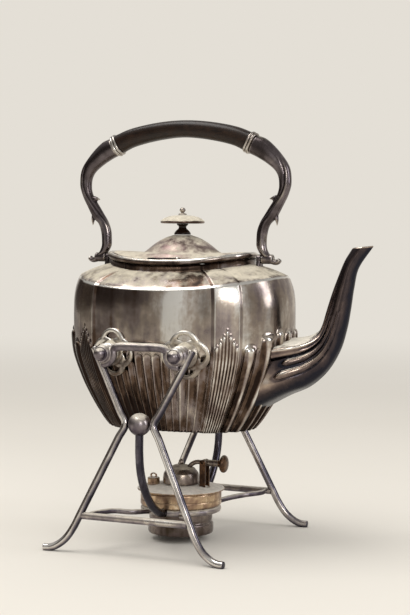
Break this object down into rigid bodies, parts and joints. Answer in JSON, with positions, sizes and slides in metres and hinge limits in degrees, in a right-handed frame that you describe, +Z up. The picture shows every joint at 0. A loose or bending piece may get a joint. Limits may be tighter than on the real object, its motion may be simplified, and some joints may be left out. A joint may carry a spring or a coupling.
{
  "type": "spirit kettle on stand",
  "caption": "Oval fluted kettle with a swing handle, hinged lid and upswept spout, tilting on pull-out pins in a bent-rod stand over a round spirit lamp.",
  "frame": {"origin": "centre of the object's outer box, on the floor under the feet", "axes": "+X to the spout, +Z up, -Y the side with the lid's hinge"},
  "size_m": [0.242, 0.1724, 0.3195],
  "materials": {
    "silver_plate": "tarnished silver plate, bright on the edges",
    "tarnished_silver": "dark, bluish-brown tarnished silver plate",
    "lamp_brass": "dull, dusty brass under worn plate",
    "ebonised_wood": "black ebonised wood, waxed",
    "cotton_wick": "woven cotton"
  },
  "bodies": {
    "stand": {"top_bar_near": "silver_plate", "top_bar_far": "silver_plate", "rod_front_near": "silver_plate", "rod_front_far": "silver_plate", "rod_rear_near": "silver_plate", "rod_rear_far": "silver_plate", "ball_near": "silver_plate", "ball_far": "silver_plate", "crossbar_near": "silver_plate", "crossbar_far": "silver_plate", "third_arm_near": "silver_plate", "third_arm_far": "silver_plate", "ring_arm_front_near": "silver_plate", "ring_arm_front_far": "silver_plate", "ring_arm_rear_near": "silver_plate", "ring_arm_rear_far": "silver_plate", "lamp_ring": "silver_plate"},
    "kettle": {"kettle_body": "silver_plate", "spout": "tarnished_silver", "gallery": "silver_plate", "hinge_knuckle_front": "silver_plate", "hinge_knuckle_rear": "silver_plate", "lid_hinge_pin": "silver_plate", "handle_lug_front": "silver_plate", "handle_lug_rear": "silver_plate", "handle_pin_front": "silver_plate", "handle_pin_rear": "silver_plate", "pin_lug_front_near": "silver_plate", "pin_lug_front_far": "silver_plate", "pin_lug_rear_near": "silver_plate", "pin_lug_rear_far": "silver_plate"},
    "handle": {"handle_arm_front": "tarnished_silver", "handle_arm_rear": "tarnished_silver", "collar_front": "silver_plate", "collar_rear": "silver_plate", "grip": "ebonised_wood"},
    "lid_body": {"lid": "silver_plate", "knob_foot": "ebonised_wood", "knob_disc": "silver_plate", "knob_finial": "silver_plate"},
    "pin_front_near_body": {"pin_front_near": "silver_plate"},
    "pin_front_far_body": {"pin_front_far": "silver_plate"},
    "pin_rear_near_body": {"pin_rear_near": "silver_plate"},
    "pin_rear_far_body": {"pin_rear_far": "silver_plate"},
    "lamp": {"lamp_cup": "tarnished_silver", "lamp_band": "lamp_brass", "lamp_plate": "lamp_brass", "wick_tube": "lamp_brass", "wick": "cotton_wick", "snuffer_fork": "lamp_brass", "snuffer_pin": "silver_plate"},
    "snuffer_body": {"snuffer": "silver_plate", "snuffer_finial": "silver_plate", "lever_knob": "lamp_brass"},
    "cap": {"filler_cap": "lamp_brass"}
  },
  "joints": [
    {"name": "kettle_tilt", "type": "hinge", "parent": "stand", "child": "kettle", "pos_m": [-0.00155, 0, 0.1461], "axis": [0, 1, 0], "range_deg": [0, 35]},
    {"name": "lid_open", "type": "hinge", "parent": "kettle", "child": "lid_body", "pos_m": [-0.03095, -0.0367, 0.2145], "axis": [1, 0, 0], "range_deg": [0, 100]},
    {"name": "handle_swing", "type": "hinge", "parent": "kettle", "child": "handle", "pos_m": [-0.03095, 0, 0.215], "axis": [-1, 0, 0], "range_deg": [-75, 75]},
    {"name": "pin_front_near_pull", "type": "slide", "parent": "stand", "child": "pin_front_near_body", "axis": [0, -1, 0], "range_m": [0, 0.018]},
    {"name": "pin_front_far_pull", "type": "slide", "parent": "stand", "child": "pin_front_far_body", "axis": [0, 1, 0], "range_m": [0, 0.018]},
    {"name": "pin_rear_near_pull", "type": "slide", "parent": "stand", "child": "pin_rear_near_body", "axis": [0, -1, 0], "range_m": [0, 0.018]},
    {"name": "pin_rear_far_pull", "type": "slide", "parent": "stand", "child": "pin_rear_far_body", "axis": [0, 1, 0], "range_m": [0, 0.018]},
    {"name": "lamp_turn", "type": "hinge", "parent": "stand", "child": "lamp", "pos_m": [-0.03095, 0, 0.0267], "axis": [0, 0, 1], "continuous": true},
    {"name": "snuffer_tilt", "type": "hinge", "parent": "lamp", "child": "snuffer_body", "pos_m": [-0.01135, 0, 0.0597], "axis": [0, 1, 0], "range_deg": [0, 50]},
    {"name": "cap_lift", "type": "slide", "parent": "lamp", "child": "cap", "axis": [0, 0, 1], "range_m": [0, 0.006]}
  ]
}
